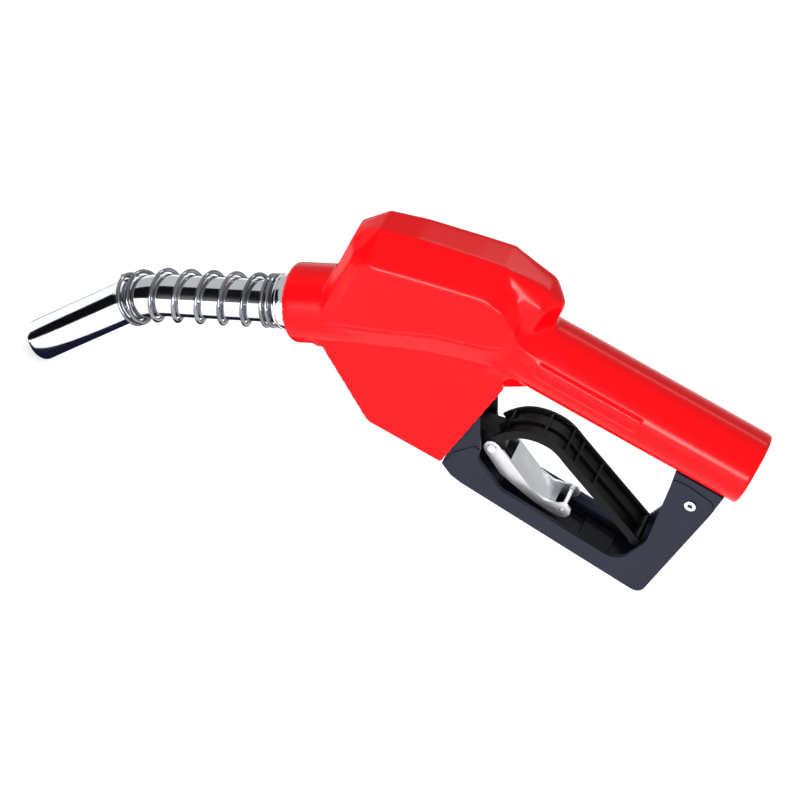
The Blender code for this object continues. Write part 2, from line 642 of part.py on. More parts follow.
# ---- neck and spout -----------------------------------------------------------------------------
def make_check_valve():
    at = in_neck(0)
    bore = NECK_BORE - GAP
    seat_profile = [(bore, -37 * mm), (bore, -41 * mm), (6.5 * mm, -41 * mm), (6.5 * mm, -39 * mm),
                    (8 * mm, -37 * mm)]
    turned("check_seat", seat_profile, at, NECK_DIR, BRASS, 24)
    poppet_profile = [(0, -25 * mm), (1.6 * mm, -25 * mm), (1.6 * mm, -34.2 * mm), (8.6 * mm, -34.8 * mm),
                      (8.6 * mm, -36 * mm), (6 * mm, -38.6 * mm), (0, -38.6 * mm)]
    turned("check_poppet", poppet_profile, at, NECK_DIR, ACETAL, 20)

    def height(share):
        return -33.2 * mm + 8.9 * mm * share
    wire("check_spring", coil(5 * mm, 4, 12, height, at, NECK_DIR), 0.5 * mm, SPRING_STEEL, 1)
    adapter_profile = [
        (NECK_SOCKET - GAP, -1.5 * mm), (NECK_SOCKET - GAP, -SPOUT_SOCKET_DEPTH + 4 * mm),
        (NECK_SOCKET - 1.6 * mm, -SPOUT_SOCKET_DEPTH + 4 * mm),
        (NECK_SOCKET - 1.6 * mm, -SPOUT_SOCKET_DEPTH + 1.6 * mm),
        (NECK_BORE - GAP, -SPOUT_SOCKET_DEPTH + 1.6 * mm), (NECK_BORE - GAP, -23.5 * mm),
        (2 * mm, -23.5 * mm), (2 * mm, -21.7 * mm), (8.2 * mm, -21.7 * mm), (8.2 * mm, -20.5 * mm),
        (SPOUT_RADIUS + GAP, -20.5 * mm), (SPOUT_RADIUS + GAP, -1.5 * mm)]
    adapter = turned("spout_adapter", adapter_profile, at, NECK_DIR, BRASS)
    holes = []
    for i in range(4):
        angle = math.pi / 4 + math.pi / 2 * i
        place = at + (NECK_UP * math.cos(angle) + Y_AXIS * math.sin(angle)) * 5.4 * mm
        holes.append(rod(f"adapter_hole_{i + 1}", 2.2 * mm, -26 * mm, -19 * mm, place, NECK_DIR, steps=12))
    cut(adapter, *holes)
    ring("spout_seal", NECK_SOCKET - 1.6 * mm + GAP, NECK_SOCKET - 0.2 * mm,
         -SPOUT_SOCKET_DEPTH + 1.9 * mm, -SPOUT_SOCKET_DEPTH + 3.7 * mm, at, NECK_DIR, RUBBER, 20)


def make_spout():
    at = in_neck(0)
    depth = SPOUT_SOCKET_DEPTH
    length = SPOUT_STRAIGHT + SPOUT_BEND_RADIUS * SPOUT_BEND + SPOUT_TIP
    stations = [-depth, 0, SPOUT_STRAIGHT]
    bend_steps = 8
    arc = SPOUT_BEND_RADIUS * SPOUT_BEND
    stations += [SPOUT_STRAIGHT + arc * (i + 1) / bend_steps for i in range(bend_steps)]
    stations.append(length)
    path = [spout_point(s)[0] for s in stations]
    guide = wire("spout_path", path, SPOUT_RADIUS, None, 6)
    tube = from_curve(guide, "spout_tube", CHROME)
    inner_path = [spout_point(-depth - 2 * mm)[0], *path[1:-1], spout_point(length + 2 * mm)[0]]
    inner_guide = wire("spout_bore_path", inner_path, SPOUT_RADIUS - SPOUT_WALL, None, 6)
    bore = from_curve(inner_guide, "spout_bore")
    tip, heading = spout_point(length - 12 * mm)
    side = heading.cross(Y_AXIS)
    sense_hole = rod("spout_sense_hole", 1.6 * mm, 5 * mm, 14 * mm, tip, side, steps=12)
    cut(tube, bore, sense_hole)

    offset = SPOUT_RADIUS - SPOUT_WALL - VENT_RADIUS - 0.6 * mm
    vent_path = []
    for s in [-depth + 2 * mm, *stations[1:-1], length - 7 * mm]:
        place, heading = spout_point(s)
        vent_path.append(place + heading.cross(Y_AXIS) * offset)
    wire("vent_tube", vent_path, VENT_RADIUS, ZINC, 2)

    nut_profile = [
        (NUT_RADIUS - 1 * mm, NUT_FACE), (NUT_RADIUS, NUT_FACE - 1 * mm), (NUT_RADIUS, 1.4 * mm),
        (NUT_RADIUS - 1 * mm, 0.4 * mm), (NECK_SOCKET - GAP, 0.4 * mm), (NECK_SOCKET - GAP, -1.2 * mm),
        (SPOUT_RADIUS + GAP, -1.2 * mm), (SPOUT_RADIUS + GAP, NUT_FACE)]
    turned("spout_nut", nut_profile, at, NECK_DIR, CHROME, 36)

    per_turn = 12
    closed = 1.6
    first = NUT_FACE + GAP + SPRING_WIRE
    turns = SPRING_TURNS + 2 * closed
    count = int(turns * per_turn)
    closed_pitch = SPRING_WIRE * 2 + 0.15 * mm
    open_pitch = (SPRING_LENGTH - 2 * closed * closed_pitch) / SPRING_TURNS
    points = []
    travel = first
    for i in range(count + 1):
        turn = i / per_turn
        place, heading = spout_point(travel)
        angle = 2 * math.pi * turn + math.pi / 2
        up = heading.cross(Y_AXIS)
        points.append(place + (up * math.cos(angle) + Y_AXIS * math.sin(angle)) * SPRING_RADIUS)
        ends = min(turn, turns - turn)
        share = min(max((ends - closed + 0.5) / 1.0, 0), 1)
        travel += (closed_pitch + (open_pitch - closed_pitch) * share) / per_turn
    wire("anchor_spring", points, SPRING_WIRE, SPRING_STEEL, 1)


def make_inlet():
    start = -INLET_DEPTH
    ring("inlet_seal", HANDLE_BORE + 0.4 * mm, INLET_RADIUS - GAP, start + GAP, start + 2 * mm, (0, 0, 0),
         X_AXIS, RUBBER, 24)
    turned("inlet_screen", [
        (0, start - 13.2 * mm), (3.8 * mm, start - 13.2 * mm), (8.3 * mm, start + 3.3 * mm),
        (INLET_RADIUS - GAP, start + 3.3 * mm), (INLET_RADIUS - GAP, start + 2.3 * mm),
        (9 * mm, start + 2.3 * mm), (4.4 * mm, start - 14 * mm), (0, start - 14 * mm)],
        (0, 0, 0), X_AXIS, MESH_STEEL, 24)


# ---- guard, lever and clip ----------------------------------------------------------------------
def make_guard():
    def bottom(x, height=0.0):
        return (x * mm, guard_bottom(x * mm, height))
    outline = rounded([
        (GUARD_HEEL_X, GUARD_HEEL_Z, 5 * mm),
        (-6.4 * mm, -26.4 * mm), (-5.6 * mm, -13.2 * mm), (-31.4 * mm, -13.2 * mm),
        (-29.8 * mm, -22 * mm), (-27.3 * mm, -41.8 * mm), (-24.6 * mm, -62 * mm, 12 * mm),
        (-31 * mm, -82.6 * mm, 9 * mm), (-97 * mm, -79.4 * mm, 8 * mm),
        (-114 * mm, -69 * mm, 6 * mm), (-114.8 * mm, -63.9 * mm), (-125.8 * mm, -38 * mm),
        (-165 * mm, -38 * mm), (-165 * mm, -54 * mm), (-134 * mm, -76.9 * mm), (-127.9 * mm, -76.9 * mm),
        (-127.7 * mm, -82.6 * mm), (-121 * mm, -86.6 * mm), bottom(-115)])
    guard = plate("lever_guard", outline, -GUARD_HALF, GUARD_HALF, SLATE)
    channel = rounded([
        (GUARD_HEEL_X - GUARD_WALL, guard_bottom(GUARD_HEEL_X - GUARD_WALL, GUARD_FLOOR), 4 * mm),
        (-8.9 * mm, -26.4 * mm), (-8.6 * mm, -19.5 * mm), (-2 * mm, -19.5 * mm), (-2 * mm, -8 * mm),
        (-170 * mm, -8 * mm),
        (-170 * mm, -85 * mm), (-126.5 * mm, -81.2 * mm), (-120.6 * mm, -84.8 * mm),
        bottom(-114, GUARD_FLOOR)])
    inside = plate("guard_channel", channel, -GUARD_INNER, GUARD_INNER)
    rivet_hole = rod("guard_rivet_hole", RIVET_RADIUS + GAP, -20 * mm, 20 * mm, (RIVET_X, 0, RIVET_Z),
                     Y_AXIS, steps=16)
    screw_hole = rod("guard_screw_hole", SCREW_RADIUS + GAP, -20 * mm, 20 * mm, (SCREW_X, 0, SCREW_Z),
                     Y_AXIS, steps=16)
    cutters = [inside]
    sinks = []
    for side in (-1, 1):
        label = "left" if side < 0 else "right"
        sink = turned(f"guard_sink_{label}", [
            (0, 1 * mm), (4.4 * mm, 1 * mm), (0, -3.4 * mm)],
            (SCREW_X, side * (GUARD_HALF - GUARD_RECESS), SCREW_Z), Y_AXIS * side, steps=18)
        near, far = sorted((side * (GUARD_HALF - GUARD_RECESS), side * (GUARD_HALF + 2 * mm)))
        front = plate(f"guard_front_recess_{label}", [
            (-125.5 * mm, -73 * mm), (-118.4 * mm, -62.6 * mm), (-110 * mm, -63.2 * mm),
            (-110 * mm, -30 * mm), (-170 * mm, -30 * mm), (-170 * mm, -80 * mm), (-126.8 * mm, -80 * mm)],
            near, far)
        rear = plate(f"guard_rear_recess_{label}", [
            (-34 * mm, -22 * mm), (-29 * mm, -17.6 * mm), (-22 * mm, -17 * mm), (-9.5 * mm, -18.6 * mm),
            (-2 * mm, -27 * mm), (-2 * mm, -10 * mm), (-34 * mm, -10 * mm)], near, far)
        cutters += [front, rear]
        sinks.append(sink)
    cut(guard, *cutters, rivet_hole, screw_hole, *sinks)

    rivet_profile = [
        (2.9 * mm, GUARD_HALF + 0.9 * mm), (2.9 * mm, GUARD_HALF + GAP),
        (RIVET_RADIUS, GUARD_HALF + GAP), (RIVET_RADIUS, -GUARD_HALF - GAP),
        (2.9 * mm, -GUARD_HALF - GAP), (2.9 * mm, -GUARD_HALF - 0.9 * mm),
        (1.2 * mm, -GUARD_HALF - 0.9 * mm), (1.2 * mm, GUARD_HALF + 0.9 * mm)]
    turned("guard_rivet", rivet_profile, (RIVET_X, 0, RIVET_Z), Y_AXIS, ZINC, 20)
    for side in (-1, 1):
        label = "left" if side < 0 else "right"
        base = (SCREW_X, side * (GUARD_HALF - GUARD_RECESS), SCREW_Z)
        profile = [(0, -0.3 * mm), (2.8 * mm, -0.3 * mm), (SCREW_RADIUS - 0.3 * mm, -1.3 * mm),
                   (SCREW_RADIUS - 0.3 * mm, -5.9 * mm), (0, -5.9 * mm)]
        turned(f"guard_screw_{label}", profile, base, Y_AXIS * side, ZINC, 16)

    top = GUARD_FLOOR + GAP
    thick = 1.3 * mm
    teeth = [bottom(-99, top), bottom(-99, top + thick)]
    for x in (-97.5, -94.2, -90.9):
        teeth += [bottom(x, top + thick), bottom(x + 0.8, top + thick + 1.2 * mm),
                  bottom(x + 2.2, top + thick + 1.2 * mm), bottom(x + 2.6, top + thick)]
    teeth += [bottom(-36, top + thick), bottom(-36, top)]
    rack = plate("hold_open_rack", teeth, -9.5 * mm, 9.5 * mm, RACK_GREY)
    slot = box("rack_slot", (-81 * mm, -8.3 * mm, -100 * mm), (-53 * mm, 8.3 * mm, -80 * mm))
    cut(rack, slot)


def lever_line(depth):
    """Upper line of the lever's paddle, front to rear, or a line deeper by the given amount."""
    line = [Vector((x * mm, z * mm)) for x, z in (
        (-113.6, -56.2), (-112.0, -53.0), (-109.4, -49.0), (-105, -44.4), (-99.5, -41.2), (-93, -39.4),
        (-86, -39.3), (-79.8, -41.2), (-72.8, -44.9), (-60, -51.3), (-45, -58.8), (-28, -67.3))]
    moved = []
    for i, here in enumerate(line):
        run = (line[min(i + 1, len(line) - 1)] - line[max(i - 1, 0)]).normalized()
        moved.append(here + Vector((run.y, -run.x)) * depth)
    return moved


def make_lever():
    rim = LEVER_HALF - LEVER_RIM
    floor = 1.9 * mm
    half = [(0.6 * mm, 0.5 * mm), (0.6 * mm, floor), (rim, floor), (rim, 0), (LEVER_HALF, 0),
            (LEVER_HALF, LEVER_THICK)]
    section = half + [(-y, depth) for y, depth in reversed(half)]
    lines = [(y, lever_line(depth)) for y, depth in section]
    paddle = skin("lever", [[(line[i].x, y, line[i].y) for y, line in lines]
                            for i in range(len(lines[0][1]))], BLACK)
    pieces = []
    top = lever_line(0)
    reach = LEVER_HALF - LEVER_RIM / 2
    for i, index in enumerate((2, 5, 7, 8, 9)):
        run = (top[index + 1] - top[index - 1]).normalized() * 0.6 * mm
        down = Vector((run.y, -run.x)) / 0.6
        here = top[index] + down * 0.3
        deep = top[index] + down * 3.1
        corners = [here - run, here + run, deep + run, deep - run]
        pieces.append(plate(f"lever_rib_{i + 1}", corners, -reach, reach))
    bar = plate("lever_bar", rounded(arc(LATCH_X, PIN_Z, 5 * mm, 90, 270) + [
        (-122 * mm, -70.5 * mm), (-106.2 * mm, -68.5 * mm, 3 * mm), (-104.5 * mm, -60.5 * mm, 3 * mm),
        (-108 * mm, -54 * mm), (-114.9 * mm, -56.5 * mm), (-122 * mm, PIN_Z), (-160 * mm, PIN_Z),
        (-170 * mm, PIN_Z + 2.4 * mm)]),
        -LEVER_BAR, LEVER_BAR)
    end_boss = rod("lever_end_boss", 3 * mm, -reach, reach, (-29.6 * mm, 0, -69.9 * mm), Y_AXIS,
                   steps=16)
    join(paddle, *pieces, bar, end_boss)
    fork = box("lever_fork", (-190 * mm, -5 * mm, -75 * mm), (-170.8 * mm, 5 * mm, -45 * mm))
    pin_hole = rod("lever_pin_hole", 2.2 * mm + GAP, -12 * mm, 12 * mm, (LATCH_X, 0, PIN_Z), Y_AXIS, steps=16)
    clip_hole = rod("lever_clip_hole", RIVET_SHANK + GAP, -12 * mm, 12 * mm, (CLIP_X, 0, CLIP_Z), Y_AXIS,
                    steps=16)
    cut(paddle, fork, pin_hole, clip_hole)
    origin_to(paddle, (LATCH_X, 0, PIN_Z))
    rivet_profile = []
    head = CLIP_HALF + 1 * mm
    for end, radius in ((head, 2.4 * mm), (CLIP_HALF + GAP, 2.4 * mm), (CLIP_HALF + GAP, 1.6 * mm),
                        (-CLIP_HALF - GAP, 1.6 * mm), (-CLIP_HALF - GAP, 2.4 * mm), (-head, 2.4 * mm)):
        rivet_profile.append((radius, end))
    rivet_profile = [(0, head)] + rivet_profile + [(0, -head)]
    turned("clip_rivet", rivet_profile, (CLIP_X, 0, CLIP_Z), Y_AXIS, ZINC, 16)


def arc(x, z, radius, begin, end, steps=6):
    """Points of an arc in X and Z, from one angle to another in degrees."""
    angles = [math.radians(begin + (end - begin) * i / steps) for i in range(steps + 1)]
    return [(x + radius * math.cos(a), z + radius * math.sin(a)) for a in angles]


def make_clip():
    ear = 4.3 * mm
    outline = arc(CLIP_X, CLIP_Z, ear, 235, 60)
    outline += [(-84 * mm, -74.6 * mm), (-76 * mm, -76.5 * mm)]
    outline += arc(ROLLER_X, ROLLER_Z, ear, 150, -80)
    outline += [(-72 * mm, -82.6 * mm), (-87 * mm, -79.2 * mm), (-101 * mm, -75.4 * mm)]
    clip = plate("hold_open_clip", outline, -CLIP_HALF, CLIP_HALF, ZINC)
    inner = CLIP_HALF - CLIP_SHEET
    front_gap = plate("clip_front_gap", [
        (-118 * mm, -50 * mm), (-100.2 * mm, -58 * mm), (-99.6 * mm, -67.6 * mm), (-84.6 * mm, -77 * mm),
        (-75.2 * mm, -81.6 * mm), (-72 * mm, -84.5 * mm), (-72 * mm, -90 * mm), (-118 * mm, -84 * mm)],
        -inner, inner)
    rear_gap = plate("clip_rear_gap", [
        (-100 * mm, -63.2 * mm), (-84 * mm, -74.6 * mm), (-74 * mm, -79.7 * mm), (-70 * mm, -82.6 * mm),
        (-60 * mm, -90 * mm), (-58 * mm, -60 * mm), (-100 * mm, -55 * mm)], -inner, inner)
    rivet_hole = rod("clip_rivet_hole", RIVET_SHANK + GAP, -12 * mm, 12 * mm, (CLIP_X, 0, CLIP_Z), Y_AXIS,
                     steps=16)
    roller_hole = rod("clip_roller_hole", ROLLER_RADIUS + GAP, -12 * mm, 12 * mm,
                      (ROLLER_X, 0, ROLLER_Z), Y_AXIS, steps=12)
    cut(clip, front_gap, rear_gap, rivet_hole, roller_hole)
    origin_to(clip, (CLIP_X, 0, CLIP_Z))
    rod("clip_roller", ROLLER_RADIUS, -CLIP_HALF - 0.2 * mm, CLIP_HALF + 0.2 * mm,
        (ROLLER_X, 0, ROLLER_Z), Y_AXIS, ZINC, 12)
    post = CLIP_HALF - CLIP_SHEET - 0.6 * mm

    def height(share):
        return post - 3.2 * mm * (1 - share)
    wire("clip_spring", coil(1 * mm, 4, 8, height, (-78.5 * mm, 0, -81.95 * mm), -Y_AXIS),
         0.35 * mm, BRASS, 1)


make_cover()
make_body()
make_main_valve()
make_latch()
make_diaphragm()
make_check_valve()
make_spout()
make_inlet()
make_guard()
make_lever()
make_clip()
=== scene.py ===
import json
import math
import bmesh
import bpy
import numpy as np
from mathutils import Matrix, Vector


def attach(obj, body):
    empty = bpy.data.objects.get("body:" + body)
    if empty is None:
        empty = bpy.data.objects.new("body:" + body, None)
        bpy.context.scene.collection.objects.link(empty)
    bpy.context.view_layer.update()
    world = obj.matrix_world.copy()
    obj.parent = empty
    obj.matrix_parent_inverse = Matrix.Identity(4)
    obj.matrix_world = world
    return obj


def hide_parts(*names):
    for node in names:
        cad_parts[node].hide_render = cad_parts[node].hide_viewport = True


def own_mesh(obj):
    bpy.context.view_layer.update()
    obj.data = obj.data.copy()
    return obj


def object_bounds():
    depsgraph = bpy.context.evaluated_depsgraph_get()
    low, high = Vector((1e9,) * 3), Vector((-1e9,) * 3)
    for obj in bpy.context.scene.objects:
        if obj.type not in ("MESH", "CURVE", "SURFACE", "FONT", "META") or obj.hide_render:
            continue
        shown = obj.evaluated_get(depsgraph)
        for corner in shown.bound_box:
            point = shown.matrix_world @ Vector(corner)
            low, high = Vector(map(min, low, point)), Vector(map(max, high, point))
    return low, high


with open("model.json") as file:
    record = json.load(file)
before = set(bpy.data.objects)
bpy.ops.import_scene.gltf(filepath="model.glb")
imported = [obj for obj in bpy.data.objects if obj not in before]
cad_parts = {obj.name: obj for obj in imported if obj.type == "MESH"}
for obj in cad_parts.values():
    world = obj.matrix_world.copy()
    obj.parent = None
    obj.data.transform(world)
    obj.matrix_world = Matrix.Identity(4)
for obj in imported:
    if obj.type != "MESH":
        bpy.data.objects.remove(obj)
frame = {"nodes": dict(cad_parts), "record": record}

cad_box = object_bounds()
mm = 0.001
Y_AXIS = Vector((0, 1, 0))

# ---- sizes shared with the part -------------------------------------------------------------------
GAP = 0.3 * mm
NECK_ANGLE = math.radians(34)
NECK_LENGTH = 90.4 * mm
NECK_DIR = Vector((-math.cos(NECK_ANGLE), 0, -math.sin(NECK_ANGLE)))
NECK_UP = Vector((-math.sin(NECK_ANGLE), 0, math.cos(NECK_ANGLE)))
COLLAR_RIM = Vector((-151.5 * mm, 0, 0)) + NECK_DIR * NECK_LENGTH

SPOUT_RADIUS = 10.3 * mm
SPOUT_WALL = 1.4 * mm
SPOUT_STRAIGHT = 66 * mm
SPOUT_BEND_RADIUS = 60 * mm
SPOUT_BEND = math.radians(26.5)
SPOUT_BEND_RUN = SPOUT_BEND_RADIUS * SPOUT_BEND
SPOUT_LENGTH = SPOUT_STRAIGHT + SPOUT_BEND_RUN + 57.6 * mm
NUT_FACE = 7.7 * mm

SPRING_WIRE_RADIUS = 1.05 * mm
SPRING_RADIUS = 12.25 * mm
SPRING_LENGTH = 79.6 * mm
SPRING_TURNS = 6
SPRING_END_TURNS = 3.2

# ---- lines on the cover's side, as heights at stations along it, in millimetres -------------------
SIDE_X = (-212.5, -207.5, -202, -190, -161, -148, -138.5, -131)
UPPER_STEP_Z = (-36, -35, -31, -24, -6.4, -1.2, 2.8, 5.8)
LOWER_STEP_Z = (-49, -49, -45, -37, -21, -15.3, -11.6, -8.8)
EAVES_Z = (9.0, 9.4, 11.4, 15.4, 24.5, 28.4, 26.3, 18.5)

# ---- the lever's back as one line, as (x, z) in millimetres ---------------------------------------
LEVER_LINE = np.array([
    (-113.6, -56.2), (-112.0, -53.0), (-109.4, -49.0), (-105, -44.4), (-99.5, -41.2), (-93, -39.4),
    (-86, -39.3), (-79.8, -41.2), (-72.8, -44.9), (-60, -51.3), (-45, -58.8), (-28, -67.3)])

# ---- softened copies: how wide an edge each one has, and in how many steps ------------------------
EDGE_WIDTHS = {
    "lever_guard": (0.55 * mm, 3), "hold_open_rack": (0.25 * mm, 2), "clip_rivet": (0.5 * mm, 3),
    "guard_rivet": (0.3 * mm, 2), "guard_screw_left": (0.25 * mm, 2), "guard_screw_right": (0.25 * mm, 2),
    "clip_roller": (0.2 * mm, 2), "valve_body": (0.3 * mm, 2)}


# ---- material maths -------------------------------------------------------------------------------
class Value:
    """A shader socket that adds Math nodes when it is used in an expression."""

    def __init__(self, finish, socket):
        self.finish = finish
        self.socket = socket

    def maths(self, operation, *terms):
        return self.finish.node("ShaderNodeMath", {"operation": operation}, dict(enumerate(terms)))

    def __add__(self, other):
        return self.maths("ADD", self, other)

    def __sub__(self, other):
        return self.maths("SUBTRACT", self, other)

    def __mul__(self, other):
        return self.maths("MULTIPLY", self, other)

    def __radd__(self, other):
        return self.maths("ADD", other, self)

    def __rsub__(self, other):
        return self.maths("SUBTRACT", other, self)

    def __rmul__(self, other):
        return self.maths("MULTIPLY", other, self)


class Finish:
    """One surface finish: a Principled shader and the nodes that vary it."""

    def __init__(self, name, **fixed):
        self.material = bpy.data.materials.new(name)
        self.material.use_nodes = True
        self.tree = self.material.node_tree
        self.shader = self.tree.nodes["Principled BSDF"]
        for socket, value in fixed.items():
            self.shader.inputs[socket.replace("_", " ")].default_value = value
        self.place = self.node("ShaderNodeTexCoord", {}, {}, "Object")

    def node(self, kind, settings, sockets, output=0):
        made = self.tree.nodes.new(kind)
        for name, value in settings.items():
            setattr(made, name, value)
        for name, value in sockets.items():
            if isinstance(value, Value):
                self.tree.links.new(value.socket, made.inputs[name])
            else:
                made.inputs[name].default_value = value
        return Value(self, made.outputs[output])

    def feed(self, socket, value):
        self.tree.links.new(value.socket, self.shader.inputs[socket])

    def noise(self, scale, detail=3.0, stretch=(1, 1, 1)):
        place = self.place
        if stretch != (1, 1, 1):
            place = self.node("ShaderNodeMapping", {}, {"Vector": place, "Scale": stretch})
        return self.node("ShaderNodeTexNoise", {}, {"Vector": place, "Scale": scale, "Detail": detail})

    def band(self, value, low, high):
        """0 below low, 1 above high, and a smooth step between."""
        return self.node("ShaderNodeMapRange", {"interpolation_type": "SMOOTHSTEP"},
                         {"Value": value, "From Min": low, "From Max": high})

    def blend(self, share, one, other):
        return self.node("ShaderNodeMix", {"data_type": "RGBA"}, {0: share, 6: (*one, 1), 7: (*other, 1)}, 2)

    def bump(self, height, strength, distance):
        self.feed("Normal", self.node("ShaderNodeBump", {}, {
            "Height": height, "Strength": strength, "Distance": distance}))


# ---- finishes -------------------------------------------------------------------------------------
def red_vinyl():
    f = Finish("red_vinyl", IOR=1.45, Specular_IOR_Level=0.18)
    cloud = f.noise(24, 2)
    fine = f.noise(900, 2)
    scuff = f.band(f.noise(160, 4, (0.25, 1, 1)), 0.68, 0.78)
    f.feed("Base Color", f.blend(cloud, (0.86, 0.0008, 0.003), (0.74, 0.0008, 0.004)))
    f.feed("Roughness", 0.17 + cloud * 0.08 + scuff * 0.12)
    f.bump(fine + f.noise(300, 2), 0.22, 0.06 * mm)
    return f.material


def moulded(name, dark, light, roughness, grain):
    f = Finish(name, IOR=1.48, Specular_IOR_Level=0.14)
    cloud = f.noise(40, 3)
    fine = f.noise(grain, 3)
    f.feed("Base Color", f.blend(cloud, dark, light))
    f.feed("Roughness", roughness + fine * 0.16)
    f.bump(fine, 0.35, 0.12 * mm)
    return f.material


def plated(name, dark, light, roughness, streaks, stretch, depth):
    f = Finish(name, Metallic=1.0)
    brushed = f.noise(streaks, 4, stretch)
    cloud = f.noise(55, 3)
    f.feed("Base Color", f.blend(f.band(cloud, 0.35, 0.65), dark, light))
    f.feed("Roughness", roughness + brushed * 0.10 + cloud * 0.04)
    f.bump(brushed, 0.25, depth)
    return f.material


def cast_aluminium():
    f = Finish("cast_aluminium", Metallic=1.0)
    skin = f.noise(420, 5)
    pits = f.band(f.noise(900, 2), 0.62, 0.72)
    cloud = f.noise(35, 3)
    f.feed("Base Color", f.blend(cloud, (0.50, 0.50, 0.51), (0.68, 0.68, 0.67)))
    f.feed("Roughness", 0.42 + skin * 0.2)
    f.bump(skin - pits * 0.5, 0.5, 0.25 * mm)
    return f.material


def woven_screen():
    f = Finish("screen_steel", Metallic=1.0)
    wires = [f.node("ShaderNodeTexWave", {"bands_direction": way}, {
        "Vector": f.place, "Scale": 420, "Distortion": 0.0}, "Fac") for way in ("Y", "Z")]
    weave = wires[0].maths("MAXIMUM", wires[0], wires[1])
    f.feed("Base Color", f.blend(weave, (0.03, 0.03, 0.03), (0.62, 0.62, 0.60)))
    f.feed("Roughness", 0.55 - weave * 0.25)
    f.bump(weave, 0.6, 0.2 * mm)
    return f.material


FINISHES = {
    "red_vinyl": red_vinyl(),
    "black_plastic": moulded("black_plastic", (0.0015, 0.0015, 0.002), (0.004, 0.004, 0.005), 0.30, 1500),
    "slate_plastic": moulded("slate_plastic", (0.011, 0.013, 0.023), (0.016, 0.019, 0.031), 0.38, 1300),
    "grey_plastic": moulded("grey_plastic", (0.008, 0.009, 0.012), (0.013, 0.014, 0.018), 0.42, 1200),
    "cast_aluminium": cast_aluminium(),
    "bright_steel": plated("bright_steel", (0.78, 0.80, 0.83), (0.86, 0.87, 0.89), 0.03, 700,
                           (0.05, 1, 0.05), 0.01 * mm),
    "zinc_plate": plated("zinc_plate", (0.78, 0.81, 0.84), (0.92, 0.93, 0.93), 0.26, 900,
                         (0.15, 1, 0.6), 0.04 * mm),
    "spring_steel": plated("spring_steel", (0.20, 0.21, 0.23), (0.32, 0.33, 0.36), 0.08, 900,
                           (1, 1, 1), 0.02 * mm),
    "brass": plated("brass", (0.62, 0.40, 0.15), (0.78, 0.56, 0.27), 0.24, 700, (0.3, 1, 1), 0.03 * mm),
    "black_rubber": moulded("black_rubber", (0.010, 0.010, 0.010), (0.020, 0.020, 0.019), 0.62, 900),
    "white_acetal": moulded("white_acetal", (0.70, 0.69, 0.64), (0.80, 0.79, 0.75), 0.34, 1100),
    "screen_steel": woven_screen(),
}


# ---- making pieces --------------------------------------------------------------------------------
def slot_of(node):
    return node.data.materials[0].name.split(".")[0]


def finish_piece(piece, slot, body, *nodes):
    """Gives a made piece its finish, its body and the nodes that it stands for."""
    piece.data.materials.clear()
    piece.data.materials.append(FINISHES[slot])
    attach(piece, body)
    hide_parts(*nodes)


def shade(piece, sharp_degrees):
    """Shades a piece smooth, and keeps every edge sharp that turns further than this."""
    piece.data.shade_smooth()
    piece.data.set_sharp_from_angle(angle=math.radians(sharp_degrees))


def new_piece(name, work):
    data = bpy.data.meshes.new(name)
    work.to_mesh(data)
    work.free()
    piece = bpy.data.objects.new(name, data)
    bpy.context.scene.collection.objects.link(piece)
    return piece


def apply_all(piece):
    """Turns the piece's modifiers into plain mesh."""
    bpy.context.view_layer.update()
    shown = piece.evaluated_get(bpy.context.evaluated_depsgraph_get())
    data = bpy.data.meshes.new_from_object(shown)
    piece.modifiers.clear()
    piece.data = data


def copied(node, whole_faces=True):
    """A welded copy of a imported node, with its flat faces made whole again if asked."""
    weld = 0.002 * mm
    same_plane = math.radians(0.6)
    work = bmesh.new()
    work.from_mesh(frame["nodes"][node].data)
    bmesh.ops.remove_doubles(work, verts=work.verts, dist=weld)
    if whole_faces:
        bmesh.ops.dissolve_limit(work, angle_limit=same_plane, verts=work.verts, edges=work.edges)
    return new_piece(node + "_made", work)


def soften_edges(piece, width, segments):
    """Rounds the piece's edges as moulding, pressing or tumbling leaves them."""
    sharp_degrees = 32
    bevel = piece.modifiers.new("edges", "BEVEL")
    bevel.width = width
    bevel.segments = segments
    bevel.limit_method = "ANGLE"
    bevel.angle_limit = math.radians(sharp_degrees)
    bevel.miter_outer = "MITER_ARC"
    bevel.use_clamp_overlap = True
    bevel.harden_normals = True
    shade(piece, sharp_degrees)
    apply_all(piece)


def skin(work, rings, closed):
    """Joins each ring of corners to the next one, and the last to the first if closed."""
    for here, there in zip(rings, rings[1:] + (rings[:1] if closed else [])):
        for k in range(len(here)):
            n = (k + 1) % len(here)
            work.faces.new((here[k], there[k], there[n], here[n]))


def lathed(name, profile, base, axis, segments):
    """A closed ring turned about an axis from (radius, height) corners."""
    turn = axis.to_track_quat("Z", "Y").to_matrix().to_4x4()
    turn.translation = base
    work = bmesh.new()
    rings = []
    for i in range(segments):
        a = 2 * math.pi * i / segments
        rings.append([work.verts.new(turn @ Vector((r * math.cos(a), r * math.sin(a), h)))
                      for r, h in profile])
    skin(work, rings, closed=True)
    bmesh.ops.recalc_face_normals(work, faces=work.faces)
    return new_piece(name, work)


def swept_wire(name, points, radius, sides):
    """A round wire along points, closed at both ends."""
    work = bmesh.new()
    rings = []
    last = None
    for i, here in enumerate(points):
        run = (points[min(i + 1, len(points) - 1)] - points[max(i - 1, 0)]).normalized()
        side = last - run * last.dot(run) if last else run.orthogonal()
        side.normalize()
        last = side
        other = run.cross(side)
        rings.append([work.verts.new(here + (side * math.cos(a) + other * math.sin(a)) * radius)
                      for a in (2 * math.pi * k / sides for k in range(sides))])
    skin(work, rings, closed=False)
    work.faces.new(rings[0][::-1])
    work.faces.new(rings[-1])
    bmesh.ops.recalc_face_normals(work, faces=work.faces)
    return new_piece(name, work)


